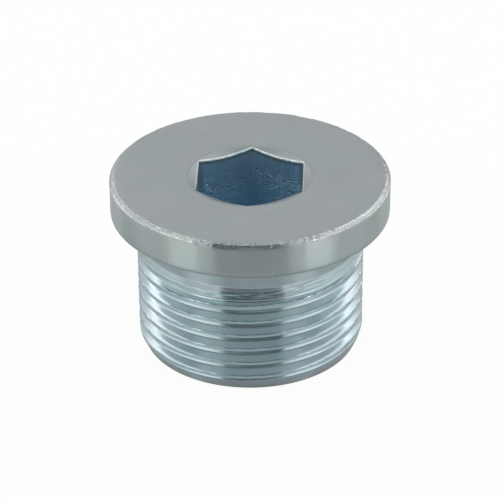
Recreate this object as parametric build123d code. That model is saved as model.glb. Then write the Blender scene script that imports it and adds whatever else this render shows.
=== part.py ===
from build123d import *
import os
from math import atan, degrees, radians, tan

# Screw plug with a collar, a metric fine thread and a hexagon socket, all one piece of steel.
#
# It stands on the end of its shank: the origin is the centre of that end face, and +Z points up through
# the collar to the socket. Two flats of the hexagon face +X and -X. Sizes are in millimetres.

# Collar
collar_diameter = 26.6
collar_height = 3.5
top_edge_break = 0.25        # 45 degrees, round the top face
seal_edge_break = 0.15       # 45 degrees, round the sealing face

# Shank
shank_length = 13.8          # from the end face to the sealing face
neck_diameter = 21.3         # plain stretch below the collar
neck_length = 2.4
neck_root_break = 0.2        # 45 degrees, in the corner of neck and sealing face
blend_height = 0.75          # cone from the neck out to the first crest
tip_diameter = 20.6          # end face
tip_chamfer_height = 1.15

# Thread: M22 x 1.5, right hand, rolled
thread_diameter = 21.7       # over the crests, a little under the nominal 22
thread_pitch = 1.5
thread_angle = 60            # between the two flanks
crest_width = 0.48
root_width = 0.12
runout_turns = 1.6           # over these the groove grows shallower and leaves the bar
groove_phase = 0.5           # share of a pitch above the end face where the groove's middle passes -Y

# Hexagon socket
socket_across_flats = 10.0
socket_depth = 7.5           # from the top face to the end of the flats
socket_floor_angle = 120     # drilled cone under the hexagon
mouth_diameter = 11.7        # lead-in cone round the socket
mouth_angle = 140

# Worked out from the above
total_height = shank_length + collar_height
collar_radius = collar_diameter / 2
neck_radius = neck_diameter / 2
tip_radius = tip_diameter / 2
crest_radius = thread_diameter / 2
flank_slope = tan(radians(thread_angle / 2))
thread_depth = (thread_pitch - crest_width - root_width) / 2 / flank_slope
root_radius = crest_radius - thread_depth
thread_top = shank_length - neck_length


def turned(outline):
    """The solid that a closed outline of (radius, height) corners makes when turned round the axis."""
    return revolve(Plane.XZ * make_face(Polyline(outline, close=True)), Axis.Z)


def groove(start_height, height, lift_angle=0.0):
    """The cutter for the thread's groove, as it climbs a right-hand helix from one height by another.

    Its flanks run on past the crests, by half of what would make two turns of the cutter touch.
    lift_angle is the slope at which it rises out of the bar.
    """
    proud = crest_width / 4 / flank_slope
    half_root = root_width / 2
    half_mouth = half_root + (thread_depth + proud) * flank_slope
    profile = Polyline(
        (root_radius, -half_root),
        (crest_radius + proud, -half_mouth),
        (crest_radius + proud, half_mouth),
        (root_radius, half_root),
        close=True,
    )
    turns = start_height / thread_pitch - groove_phase
    start = Pos(0, 0, start_height) * Rot(0, 0, 360 * turns - 90)
    path = start * Helix(thread_pitch, height, root_radius, cone_angle=lift_angle)
    section = start * (Plane.XZ * make_face(profile))
    return sweep(section, path=path, is_frenet=True)


def make_shank():
    """A bar longer than the shank gets its groove, then takes the outline of tip, thread, blend and neck."""
    spare = 4 * thread_pitch
    groove_start = -1.5 * thread_pitch
    runout_height = runout_turns * thread_pitch
    runout_start = thread_top - runout_height
    lift_angle = degrees(atan(1.2 * thread_depth / runout_height))
    bar = Cylinder(
        crest_radius,
        shank_length + 2 * spare,
        align=(Align.CENTER, Align.CENTER, Align.MIN),
    )
    bar = Pos(0, 0, -spare) * bar
    bar -= groove(groove_start, runout_start - groove_start)
    bar -= groove(runout_start, runout_height, lift_angle)

    clear = 0.1 * thread_pitch
    tip_rise = tip_chamfer_height / (crest_radius - tip_radius)
    blend_rise = blend_height / (crest_radius - neck_radius)
    shank_outline = turned([
        (0, 0),
        (tip_radius, 0),
        (crest_radius + clear, tip_chamfer_height + clear * tip_rise),
        (crest_radius + clear, thread_top - blend_height - clear * blend_rise),
        (neck_radius, thread_top),
        (neck_radius, shank_length),
        (0, shank_length),
    ])
    return bar & shank_outline


def make_collar():
    """The collar as a disc with both its rims broken."""
    return turned([
        (0, shank_length),
        (collar_radius - seal_edge_break, shank_length),
        (collar_radius, shank_length + seal_edge_break),
        (collar_radius, total_height - top_edge_break),
        (collar_radius - top_edge_break, total_height),
        (0, total_height),
    ])


def make_socket():
    """The space of the hexagon, with the drilled cone below it and the lead-in cone round its mouth."""
    half_flats = socket_across_flats / 2
    floor_height = total_height - socket_depth
    above = total_height + collar_height
    hexagon = RegularPolygon(half_flats, side_count=6, major_radius=False, rotation=30)
    prism = extrude(Pos(0, 0, floor_height) * hexagon, above - floor_height)
    drill_point = turned([
        (0, floor_height - half_flats / tan(radians(socket_floor_angle / 2))),
        (half_flats, floor_height),
        (0, floor_height),
    ])
    mouth_radius = mouth_diameter / 2
    lead_in = turned([
        (0, total_height - mouth_radius / tan(radians(mouth_angle / 2))),
        (mouth_radius, total_height),
        (mouth_radius, above),
        (0, above),
    ])
    return prism + drill_point + lead_in


def make_plug():
    """Shank and collar as one piece, with the corner between them filled a little, less the socket."""
    plug = make_shank() + make_collar()
    neck_root = (
        plug.edges()
        .filter_by(GeomType.CIRCLE)
        .filter_by_position(Axis.Z, shank_length, shank_length)
        .sort_by(SortBy.RADIUS)[0]
    )
    plug = chamfer(neck_root, neck_root_break)
    return plug - make_socket()


os.makedirs("parts", exist_ok=True)
export_step(make_plug(), "parts/screw_plug.step")
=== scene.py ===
"""A hexagon socket screw plug of zinc plated steel: collar, hexagon socket and rolled fine thread.

The plug stands on the end of its shank, with the origin at the centre of that end face and +Z up through
the collar. Sizes are in millimetres until a mesh is written out in metres. One closed mesh stands for the
solid of the frame: a Geometry Nodes tree rolls the thread, and rings of points turn the collar, the socket
and the end face onto it. Each zone of the skin has a zinc finish of its own, because each was worked in
another way.
"""

import logging
import math
from collections.abc import Callable, Sequence
from dataclasses import dataclass, replace
from enum import Enum

import bmesh
import bpy
from mathutils import Matrix, Vector, noise


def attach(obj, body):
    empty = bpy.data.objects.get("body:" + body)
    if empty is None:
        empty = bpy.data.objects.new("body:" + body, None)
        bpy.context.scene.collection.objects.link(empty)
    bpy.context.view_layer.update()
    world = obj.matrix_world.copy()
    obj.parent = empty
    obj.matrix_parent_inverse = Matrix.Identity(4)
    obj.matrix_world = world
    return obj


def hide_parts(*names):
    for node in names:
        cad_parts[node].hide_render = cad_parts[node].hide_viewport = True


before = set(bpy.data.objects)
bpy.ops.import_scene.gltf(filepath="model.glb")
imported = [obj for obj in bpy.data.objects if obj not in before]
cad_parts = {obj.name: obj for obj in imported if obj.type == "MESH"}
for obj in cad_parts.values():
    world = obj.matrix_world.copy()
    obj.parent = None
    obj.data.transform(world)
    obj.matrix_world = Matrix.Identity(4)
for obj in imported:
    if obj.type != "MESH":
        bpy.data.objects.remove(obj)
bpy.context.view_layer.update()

MM = 0.001
FULL_TURN = 2 * math.pi
QUARTER = 0.25  # of a turn, from -Y to +X
NODE = "screw_plug"
LOG = logging.getLogger("screw_plug")

Colour = tuple[float, float, float]
Edge = tuple[float, float]
WHITE: Colour = (1.0, 1.0, 1.0)


class Zone(Enum):
    """The parts of the plug's skin that have a finish of their own. The values are material indices."""

    THREAD = 0
    NECK = 1
    SIDE = 2
    FACE = 3
    RIM = 4
    SOCKET = 5
    EDGE = 6
    MOUTH = 7


# ---------------------------------------------------------------------------------------------------------
# Node trees written as expressions
# ---------------------------------------------------------------------------------------------------------


@dataclass(frozen=True)
class Grain:
    """A noise pattern.

    Attributes:
        scale: how many features there are in a millimetre.
        detail: how many finer octaves are added.
        roughness: how strong those octaves are.
        seed: the fourth coordinate, which picks another pattern.
        band: the noise values between which patches of the pattern pass from 0 to 1.
        along: how much finer the pattern is along the axis than round it.
    """

    scale: float
    detail: float
    roughness: float
    seed: float
    band: Edge = (0.0, 1.0)
    along: float = 1.0


class Wire:
    """An output socket on which Python's operators add Math nodes."""

    def __init__(self, tree: "Tree", socket: bpy.types.NodeSocket) -> None:
        """Keeps the socket and the tree that it belongs to."""
        self.tree = tree
        self.socket = socket

    def __add__(self, other: "Value") -> "Wire":
        """Returns self + other."""
        return self.tree.math("ADD", self, other)

    def __sub__(self, other: "Value") -> "Wire":
        """Returns self - other."""
        return self.tree.math("SUBTRACT", self, other)

    def __rsub__(self, other: "Value") -> "Wire":
        """Returns other - self."""
        return self.tree.math("SUBTRACT", other, self)

    def __mul__(self, other: "Value") -> "Wire":
        """Returns self * other."""
        return self.tree.math("MULTIPLY", self, other)

    def __truediv__(self, other: "Value") -> "Wire":
        """Returns self / other."""
        return self.tree.math("DIVIDE", self, other)

    def __pow__(self, other: "Value") -> "Wire":
        """Returns self ** other."""
        return self.tree.math("POWER", self, other)

    def __neg__(self) -> "Wire":
        """Returns -self."""
        return self.tree.math("MULTIPLY", self, -1.0)

    def __abs__(self) -> "Wire":
        """Returns abs(self)."""
        return self.tree.math("ABSOLUTE", self)

    __radd__ = __add__
    __rmul__ = __mul__


Value = Wire | float


class Tree:
    """A shader or geometry node tree under construction."""

    def __init__(self, data: bpy.types.NodeTree) -> None:
        """Empties the tree and builds in it.

        Args:
            data: the node tree of a material, a world or a Geometry Nodes modifier.
        """
        self.data = data
        data.nodes.clear()

    def node(
        self, kind: str, settings: dict | None = None, inputs: dict | None = None
    ) -> bpy.types.Node:
        """Adds a node.

        Args:
            kind: the node's type name.
            settings: its properties, set first. "stops" holds a colour ramp's (position, colour) pairs.
            inputs: values or wires by the socket's name or index.

        Returns:
            The new node.
        """
        made = self.data.nodes.new(kind)
        for name, value in (settings or {}).items():
            if name == "stops":
                self._set_stops(made.color_ramp, value)
            else:
                setattr(made, name, value)
        for key, value in (inputs or {}).items():
            self._feed(made.inputs[key], value)
        return made

    @staticmethod
    def _set_stops(ramp: bpy.types.ColorRamp, stops: Sequence[tuple[float, Colour]]) -> None:
        """Gives a colour ramp its stops.

        Args:
            ramp: the ramp.
            stops: its (position, colour) pairs.
        """
        while len(ramp.elements) < len(stops):
            ramp.elements.new(1.0)
        for element, (position, colour) in zip(ramp.elements, stops):
            element.position = position
            element.color = (*colour, 1.0)

    def _feed(self, socket: bpy.types.NodeSocket, value: object) -> None:
        """Links a wire to an input, or sets the input's own value.

        Args:
            socket: the input.
            value: the wire or the value.
        """
        if isinstance(value, Wire):
            self.data.links.new(value.socket, socket)
        elif isinstance(value, tuple) and socket.type == "RGBA":
            socket.default_value = (*value, 1.0)
        else:
            socket.default_value = value

    def wire(
        self,
        kind: str,
        settings: dict | None = None,
        inputs: dict | None = None,
        output: str | int = 0,
    ) -> Wire:
        """Adds a node as node() does and returns one of its outputs."""
        return Wire(self, self.node(kind, settings, inputs).outputs[output])

    def math(self, operation: str, *operands: Value) -> Wire:
        """Returns the result of one Math node."""
        return self.wire("ShaderNodeMath", {"operation": operation}, dict(enumerate(operands)))

    def spread(
        self,
        value: Value,
        low: Value,
        high: Value,
        start: Value = 0.0,
        end: Value = 1.0,
        smooth: bool = False,
    ) -> Wire:
        """Maps low..high to start..end and clamps it.

        Args:
            value: what is mapped.
            low: the value that gives start.
            high: the value that gives end.
            start: the result at and below low.
            end: the result at and above high.
            smooth: True for an S-shaped passage.

        Returns:
            The mapped value.
        """
        inputs = {"Value": value, "From Min": low, "From Max": high, "To Min": start, "To Max": end}
        settings = {"interpolation_type": "SMOOTHSTEP" if smooth else "LINEAR"}
        return self.wire("ShaderNodeMapRange", settings, inputs)

    def rise(self, value: Value, edge: tuple[Value, Value]) -> Wire:
        """Returns 0 below an edge and 1 above it, with an S-shaped passage."""
        return self.spread(value, *edge, smooth=True)

    def fall(self, value: Value, edge: Edge) -> Wire:
        """Returns 1 below an edge and 0 above it, with an S-shaped passage."""
        return self.spread(value, *edge, 1.0, 0.0, smooth=True)

    def window(self, value: Value, opening: Edge, closing: Edge) -> Wire:
        """Returns 1 between two edges and 0 beyond them, with S-shaped passages."""
        return self.rise(value, opening) * self.fall(value, closing)

    def blend(self, factor: Value, low: Value, high: Value) -> Wire:
        """Returns the number between low and high that factor picks."""
        return self.wire("ShaderNodeMix", {"data_type": "FLOAT"}, {0: factor, 2: low, 3: high})

    def tint(self, factor: Value, low: object, high: object, mode: str = "MIX") -> Wire:
        """Returns the colour between low and high that factor picks, in one of the Mix node's modes."""
        settings = {"data_type": "RGBA", "blend_type": mode}
        return self.wire("ShaderNodeMix", settings, {0: factor, 6: low, 7: high}, output=2)

    def vector(self, x: Value, y: Value, z: Value) -> Wire:
        """Returns a vector of three numbers."""
        return self.wire("ShaderNodeCombineXYZ", inputs={0: x, 1: y, 2: z})

    def split(self, vector: Wire) -> tuple[Wire, Wire, Wire]:
        """Returns the three numbers of a vector."""
        x, y, z = self.node("ShaderNodeSeparateXYZ", inputs={0: vector}).outputs
        return Wire(self, x), Wire(self, y), Wire(self, z)

    def from_axis(self, x: Wire, y: Wire) -> Wire:
        """Returns the distance from the axis."""
        return self.math("SQRT", x * x + y * y)

    def drawn(self, place: Wire, along: float) -> Wire:
        """Returns coordinates on which a pattern is so many times finer along the axis than round it."""
        inputs = {0: place, 1: (1.0, 1.0, along)}
        return self.wire("ShaderNodeVectorMath", {"operation": "MULTIPLY"}, inputs)

    def grain(self, place: Wire, pattern: Grain) -> Wire:
        """Returns noise from 0 to 1 with most of it near a half.

        Args:
            place: the coordinates in millimetres.
            pattern: what the noise is like.

        Returns:
            The noise value.
        """
        inputs = {
            "Vector": place if pattern.along == 1.0 else self.drawn(place, pattern.along),
            "W": pattern.seed,
            "Scale": pattern.scale,
            "Detail": pattern.detail,
            "Roughness": pattern.roughness,
        }
        return self.wire("ShaderNodeTexNoise", {"noise_dimensions": "4D"}, inputs)

    def patches(self, place: Wire, pattern: Grain) -> Wire:
        """Returns 1 in the patches where the pattern's noise is above its band, and 0 between them."""
        return self.rise(self.grain(place, pattern), pattern.band)


# ---------------------------------------------------------------------------------------------------------
# The rolled thread
# ---------------------------------------------------------------------------------------------------------


TORN_LIP = Grain(1.6, 2.5, 0.7, seed=3.0, band=(0.43, 0.51), along=3.0)
UNEVEN_LIP = Grain(0.35, 1.0, 0.5, seed=8.0, band=(0.3, 0.6), along=3.0)


@dataclass
class Shank:
    """The threaded shank below the neck, as one strip that winds round the axis and is sewn to itself.

    Each turn of the strip reaches from crest to crest, with the groove in its middle, so every edge of the
    thread lies along the strip. Rolling leaves the crest with two lips and a shallow seam between them.
    Heights are measured from the end face, and the lips' heights are shares of the seam's depth.

    Attributes:
        neck_diameter: the plain stretch above the thread.
        thread_top: the height at which the strip ends, on the neck.
        blend_start: the height at which the blend from the crests meets the neck.
        blend_height: how far below that it leaves the crests.
        tip_diameter: the end face.
        tip_chamfer_height: the height of the chamfer round the end face.
        foot: the height at which the strip starts.
        thread_diameter: the diameter over the lips.
        pitch: how far the thread climbs in one turn.
        crest_width: the width of a crest.
        root_width: the flat width of the root.
        flank_angle: how far a flank leans out of the plane across the axis, in degrees.
        groove_phase: the share of a pitch above the end face where the groove's middle passes -Y.
        runout_height: how far below thread_top the groove starts to grow shallower.
        runout_rise: by how many full depths it would rise over that height.
        runout_narrowing: the share of the narrowing that the flanks would cause by themselves.
        narrowing_end: how far below thread_top the narrowing starts to end, and has ended.
        seam_depth: the depth of the seam between the lips.
        lip_width: how far beside its ridge a lip has sunk to about a third.
        torn_lip: the height of the upper lip where it isn't torn away.
        uneven_lip: the height of the lower lip in its lowest places.
        last_lip: the height of the step that the last crest leaves on the blend.
        last_lip_edge: how far before the crest's edge that step starts, and how far after it it is whole.
        on_blend: how far below the blend that step starts to take over from the lips, and has done so.
        lip_foot: how far before the crest's edge the lower lip starts.
        lip_end: how far before the crest's middle it ends.
        blend_fade: how far before and after the blend's foot the lips fade.
        blend_lip: the share of them that is left on the blend.
        neck_fade: how far below thread_top the lips start to fade out, and have faded out.
        roundings: the soft corners of the blend at the neck and at the crest, the root and the chamfer.
        foot_fade: the heights at which the groove starts and at which it has its full depth.
        segments: the points in one turn.
        groove_spans: the spans from the groove's middle to just before the crest's edge.
        lip_spans: the spans from there over the lip.
        crest_spans: the spans from there to the crest's middle.
        lip_zone: how far before the crest's edge the lip's spans start, and how far they reach.
        sewing_distance: how close two turns' points are that are sewn together.
        first_turn: where the strip starts, in turns from +X.
        turns: the turns of the strip.
        spare_turns: whole turns that are added to a place along the thread, so that it is above 0.
        end_rings: how far inside the foot each ring of the end face lies, and its height.
    """

    neck_diameter: float = 21.3
    thread_top: float = 11.25
    blend_start: float = 11.2
    blend_height: float = 0.825
    tip_diameter: float = 20.6
    tip_chamfer_height: float = 1.15
    foot: float = 0.14
    thread_diameter: float = 21.7
    pitch: float = 1.5
    crest_width: float = 0.48
    root_width: float = 0.12
    flank_angle: float = 30.0
    groove_phase: float = 0.45
    runout_height: float = 2.25
    runout_rise: float = 1.25
    runout_narrowing: float = 0.85
    narrowing_end: Edge = (0.85, 0.55)
    seam_depth: float = 0.075
    lip_width: float = 0.06
    torn_lip: float = 0.85
    uneven_lip: float = 0.85
    last_lip: float = 0.35
    last_lip_edge: Edge = (0.05, 0.03)
    on_blend: Edge = (0.4, 0.2)
    lip_foot: float = 0.2
    lip_end: float = 0.05
    blend_fade: Edge = (0.1, 0.2)
    blend_lip: float = 0.75
    neck_fade: Edge = (0.3, 0.05)
    roundings: tuple[float, float, float, float] = (0.04, 0.02, 0.12, 0.03)
    foot_fade: Edge = (0.55, 1.7)
    segments: int = 192
    groove_spans: int = 7
    lip_spans: int = 8
    crest_spans: int = 3
    lip_zone: Edge = (0.06, 0.16)
    sewing_distance: float = 0.001
    first_turn: float = -1.25
    turns: float = 8.625
    spare_turns: int = 4
    end_rings: tuple[Edge, ...] = (
        (0.015, 0.09),
        (0.045, 0.045),
        (0.09, 0.014),
        (0.15, 0.0),
        (1.2, 0.0),
        (4.0, 0.0),
        (7.0, 0.0),
    )

    def sizes(self) -> dict[str, float]:
        """Lists what the thread's tree is given.

        Returns:
            The sizes by the names of the tree's inputs.
        """
        return {
            "Pitch": self.pitch,
            "Crest Radius": self.thread_diameter / 2,
            "Crest Width": self.crest_width,
            "Root Width": self.root_width,
            "Flank Slope": math.tan(math.radians(self.flank_angle)),
            "Run-out Height": self.runout_height,
            "Run-out Rise": self.runout_rise,
            "Run-out Narrowing": self.runout_narrowing,
            "Seam Depth": self.seam_depth,
            "Lip Width": self.lip_width,
            "Last Lip": self.last_lip,
            "Groove Phase": self.groove_phase,
            "Tip Radius": self.tip_diameter / 2,
            "Tip Chamfer Height": self.tip_chamfer_height,
            "Neck Radius": self.neck_diameter / 2,
            "Blend Start": self.blend_start,
            "Blend Height": self.blend_height,
            "Fade Low": self.foot_fade[0],
            "Fade High": self.foot_fade[1],
            "Thread Top": self.thread_top,
            "Foot": self.foot,
            "First Turn": self.first_turn,
            "Turns": self.turns,
        }

    def _tree(self, finish: bpy.types.Material) -> bpy.types.NodeTree:
        """Builds the tree that rolls the thread.

        Args:
            finish: the material of the thread.

        Returns:
            The tree, with one named input for each size.
        """
        data = bpy.data.node_groups.new("rolled_thread", "GeometryNodeTree")
        tree = Tree(data)
        data.interface.new_socket(name="Thread", in_out="OUTPUT", socket_type="NodeSocketGeometry")
        for name, value in self.sizes().items():
            made = data.interface.new_socket(name=name, in_out="INPUT", socket_type="NodeSocketFloat")
            made.default_value = value
        given = tree.node("NodeGroupInput")
        size = {name: Wire(tree, given.outputs[name]) for name in self.sizes()}

        grid = tree.node(
            "GeometryNodeMeshGrid",
            inputs={
                "Size X": 1.0,
                "Size Y": 1.0,
                "Vertices X": round(self.segments * self.turns) + 1,
                "Vertices Y": 2 * self._half_spans() + 1,
            },
        )
        along, across, _ = tree.split(Wire(tree, grid.outputs["UV Map"]))
        turn = size["First Turn"] + along * size["Turns"]
        angle = turn * FULL_TURN
        groove = size["Pitch"] * (turn + size["Groove Phase"] + QUARTER)
        height = self._station_height(tree, size, groove, across)
        radius = self._radius(tree, size, turn, angle, height)
        place = tree.vector(
            radius * tree.math("COSINE", angle) * MM,
            radius * tree.math("SINE", angle) * MM,
            height * MM,
        )
        flat = Wire(tree, grid.outputs["Mesh"])
        wound = tree.wire("GeometryNodeSetPosition", inputs={"Geometry": flat, "Position": place})
        distance = self.sewing_distance * MM
        sewn = tree.wire("GeometryNodeMergeByDistance", inputs={"Geometry": wound, "Distance": distance})
        real = tree.wire("GeometryNodeRealizeInstances", inputs={"Geometry": sewn})
        dressed = tree.wire("GeometryNodeSetMaterial", inputs={"Geometry": real, "Material": finish})
        tree.node("NodeGroupOutput", inputs={"Thread": dressed})
        return data

    def _half_spans(self) -> int:
        """Returns the spans between the middle of the groove and the middle of a crest."""
        return self.groove_spans + self.lip_spans + self.crest_spans

    @staticmethod
    def _full_depth(size: dict[str, Wire]) -> Wire:
        """Returns the depth of the groove where it is whole."""
        return (size["Pitch"] / 2 - size["Crest Width"] / 2 - size["Root Width"] / 2) / size["Flank Slope"]

    def _lift(self, tree: Tree, size: dict[str, Wire], groove: Wire) -> Wire:
        """Lifts the groove out of the bar in the run-out.

        Args:
            tree: the tree under construction.
            size: its named inputs.
            groove: the height of the groove's middle above the end face.

        Returns:
            How much shallower the groove is there.
        """
        start = size["Thread Top"] - size["Run-out Height"]
        above = tree.math("MAXIMUM", groove - start, 0.0)
        return above * size["Run-out Rise"] * self._full_depth(size) / size["Run-out Height"]

    def _depth(self, tree: Tree, size: dict[str, Wire], groove: Wire) -> Wire:
        """Works out the groove's depth, which is less in the run-out and at the foot.

        Args:
            tree: the tree under construction.
            size: its named inputs.
            groove: the height of the groove's middle above the end face.

        Returns:
            The depth below the crests.
        """
        faded = tree.rise(groove, (size["Fade Low"], size["Fade High"]))
        lifted = self._full_depth(size) - self._lift(tree, size, groove)
        return tree.math("MAXIMUM", lifted * faded, size["Seam Depth"])

    def _edge(self, tree: Tree, size: dict[str, Wire], groove: Wire) -> Wire:
        """Works out the groove's width, which is less in the run-out.

        Args:
            tree: the tree under construction.
            size: its named inputs.
            groove: the height of the groove's middle above the end face.

        Returns:
            Half the width at the crests.
        """
        start, end = (size["Thread Top"] - below for below in self.narrowing_end)
        lifted = tree.math("MINIMUM", self._lift(tree, size, groove), self._full_depth(size))
        narrowed = lifted * size["Flank Slope"] * size["Run-out Narrowing"]
        narrowed = narrowed * tree.spread(groove, start, end, 1.0, 0.0)
        return (size["Pitch"] - size["Crest Width"]) / 2 - narrowed

    def _station_height(self, tree: Tree, size: dict[str, Wire], groove: Wire, across: Wire) -> Wire:
        """Spaces the points across the strip, closest at the lips.

        Args:
            tree: the tree under construction.
            size: its named inputs.
            groove: the height of the groove's middle at this place along the strip.
            across: 0 at the lower crest, 1 at the upper one.

        Returns:
            The height of each point above the end face.
        """
        edge = self._edge(tree, size, groove)
        share = abs(across * 2 - 1)
        groove_share = self.groove_spans / self._half_spans()
        lip_share = (self.groove_spans + self.lip_spans) / self._half_spans()
        before, reach = self.lip_zone
        from_middle = (
            tree.spread(share, 0, groove_share) * (edge - before)
            + tree.spread(share, groove_share, lip_share) * reach
            + tree.spread(share, lip_share, 1) * (size["Pitch"] / 2 - edge + before - reach)
        )
        offset = from_middle * tree.math("SIGN", across - 0.5)
        return tree.math("MINIMUM", tree.math("MAXIMUM", groove + offset, size["Foot"]), size["Thread Top"])

    def _radius(self, tree: Tree, size: dict[str, Wire], turn: Wire, angle: Wire, height: Wire) -> Wire:
        """Shapes the skin of the shank.

        Args:
            tree: the tree under construction.
            size: its named inputs.
            turn: how many turns from +X this place is, along the strip.
            angle: the same in radians.
            height: the height above the end face.

        Returns:
            The distance from the axis, a rule of angle and height alone, so that the turns meet.
        """
        # The spare turns keep the number above 0, and the half turn puts the groove's middle at a half.
        shift = self.spare_turns + 0.5 - QUARTER
        phase = tree.math("FRACT", height / size["Pitch"] - turn - size["Groove Phase"] + shift)
        offset = (phase - 0.5) * size["Pitch"]
        depth = self._depth(tree, size, height - offset)
        edge = self._edge(tree, size, height - offset)
        _, _, root_rounding, tip_rounding = self.roundings
        ring = tree.vector(
            tree.math("COSINE", angle) * size["Crest Radius"],
            tree.math("SINE", angle) * size["Crest Radius"],
            height,
        )
        crest = self._level(tree, size, height)
        crest = crest + size["Seam Depth"] * self._lips(tree, size, ring, offset, edge, height)
        root = size["Crest Radius"] - depth
        flank = size["Crest Radius"] - depth * (edge - abs(offset)) / (edge - size["Root Width"] / 2)
        skin = tree.math("MINIMUM", flank, crest)
        rounding = tree.math("MINIMUM", (crest - root) / 2, root_rounding)
        rounding = tree.math("MAXIMUM", rounding, 0.0)
        skin = tree.math("SMOOTH_MAX", skin, tree.math("MINIMUM", root, crest), rounding)
        tip_rise = (size["Crest Radius"] - size["Tip Radius"]) / size["Tip Chamfer Height"]
        tip = size["Tip Radius"] + height * tip_rise
        return tree.math("SMOOTH_MIN", skin, tip, tip_rounding)

    def _level(self, tree: Tree, size: dict[str, Wire], height: Wire) -> Wire:
        """Works out what the lips stand on: the bottom of the seam, then the blend to the neck.

        Args:
            tree: the tree under construction.
            size: its named inputs.
            height: the height above the end face.

        Returns:
            Its distance from the axis.
        """
        neck_rounding, crest_rounding, _, _ = self.roundings
        seam = size["Crest Radius"] - size["Seam Depth"]
        blend_rise = (seam - size["Neck Radius"]) / size["Blend Height"]
        below = tree.math("SMOOTH_MAX", size["Blend Start"] - height, 0.0, neck_rounding)
        return tree.math("SMOOTH_MIN", seam, size["Neck Radius"] + below * blend_rise, crest_rounding)

    def _lips(
        self, tree: Tree, size: dict[str, Wire], ring: Wire, offset: Wire, edge: Wire, height: Wire
    ) -> Wire:
        """Shapes the lips of the crests.

        Args:
            tree: the tree under construction.
            size: its named inputs.
            ring: the place on the crests' cylinder.
            offset: how far above the groove's middle this place is.
            edge: half the groove's width.
            height: the height above the end face.

        Returns:
            The height of the lips, as a share of the seam's depth.
        """
        aside = abs(offset)
        whole_edge = (size["Pitch"] - size["Crest Width"]) / 2
        ragged = tree.spread(tree.grain(ring, TORN_LIP), *TORN_LIP.band, 0.0, self.torn_lip)
        even = tree.spread(tree.grain(ring, UNEVEN_LIP), *UNEVEN_LIP.band, self.uneven_lip, 1.0)
        blend_foot = size["Blend Start"] - size["Blend Height"]
        on_blend = tree.spread(height, *(blend_foot - below for below in self.on_blend))
        before, after = self.last_lip_edge
        step = tree.spread(aside, whole_edge - before, whole_edge + after, 0.0, size["Last Lip"]) * ragged
        share = (aside - edge) / size["Lip Width"]
        ridge = tree.math("EXPONENT", -(share * share))
        upper = tree.blend(on_blend, ridge * ragged, step)
        ramp = tree.spread(aside, edge, size["Pitch"] / 2 - self.lip_end, 1.0, 0.0) * even
        lower = step * on_blend * (1 - ramp) + ramp * tree.spread(aside, edge - self.lip_foot, edge)
        bump = tree.blend(tree.math("GREATER_THAN", offset, 0.0), upper, lower)
        before, after = self.blend_fade
        fading = tree.spread(height, blend_foot - before, blend_foot + after, 1.0, self.blend_lip)
        start, end = (size["Thread Top"] - below for below in self.neck_fade)
        return fading * tree.spread(height, start, end, 1.0, 0.0) * bump

    def mesh(self, finish: bpy.types.Material) -> bpy.types.Mesh:
        """Rolls the thread.

        Args:
            finish: the material of the thread.

        Returns:
            A plain mesh, open at the foot and at the neck.
        """
        holder = bpy.data.objects.new("thread_holder", bpy.data.meshes.new("thread_holder"))
        bpy.context.scene.collection.objects.link(holder)
        modifier = holder.modifiers.new("rolled_thread", "NODES")
        modifier.node_group = self._tree(finish)
        for item in modifier.node_group.interface.items_tree:
            if item.item_type == "SOCKET" and item.in_out == "INPUT":
                modifier[item.identifier] = float(self.sizes()[item.name])
        graph = bpy.context.evaluated_depsgraph_get()
        rolled = holder.evaluated_get(graph)
        made = bpy.data.meshes.new_from_object(rolled, preserve_all_data_layers=False, depsgraph=graph)
        holder.modifiers.remove(modifier)
        bpy.data.objects.remove(holder)
        return made


# ---------------------------------------------------------------------------------------------------------
# Turned and broached forms
# ---------------------------------------------------------------------------------------------------------


def in_space(around: Vector, place: Vector) -> Vector:
    """Returns the point that lies at (radius, height) in an outward direction."""
    return around * place.x + Vector((0.0, 0.0, place.y))


def rough(spot: Vector, waves: Sequence[Edge]) -> float:
    """Returns the sum of noises at a point, each given by its features in a millimetre and its strength."""
    return sum(strength * noise.noise(spot * scale) for scale, strength in waves)


def clamped(share: float) -> float:
    """Returns a share, kept between 0 and 1."""
    return min(1.0, max(0.0, share))


@dataclass(frozen=True)
class Corner:
    """A corner of a turned profile.

    Attributes:
        radius: the distance from the axis, or a rule that gives it for an angle.
        height: the height above the end face, or such a rule.
        zone: the finish of the skin from here on.
        spans: the spans of the straight run to the next corner.
        steps: the spans of the corner's rounding, none for a sharp corner.
        cut: how far before the corner its rounding starts, and how far after it the rounding ends.
    """

    radius: float | Callable[[float], float]
    height: float | Callable[[float], float]
    zone: Zone
    spans: int
    steps: int = 0
    cut: Edge = (0.0, 0.0)

    def at(self, angle: float) -> Vector:
        """Finds the corner at an angle.

        Args:
            angle: the angle about the axis.

        Returns:
            Its (radius, height).
        """
        radius = self.radius(angle) if callable(self.radius) else self.radius
        height = self.height(angle) if callable(self.height) else self.height
        return Vector((radius, height))


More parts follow.
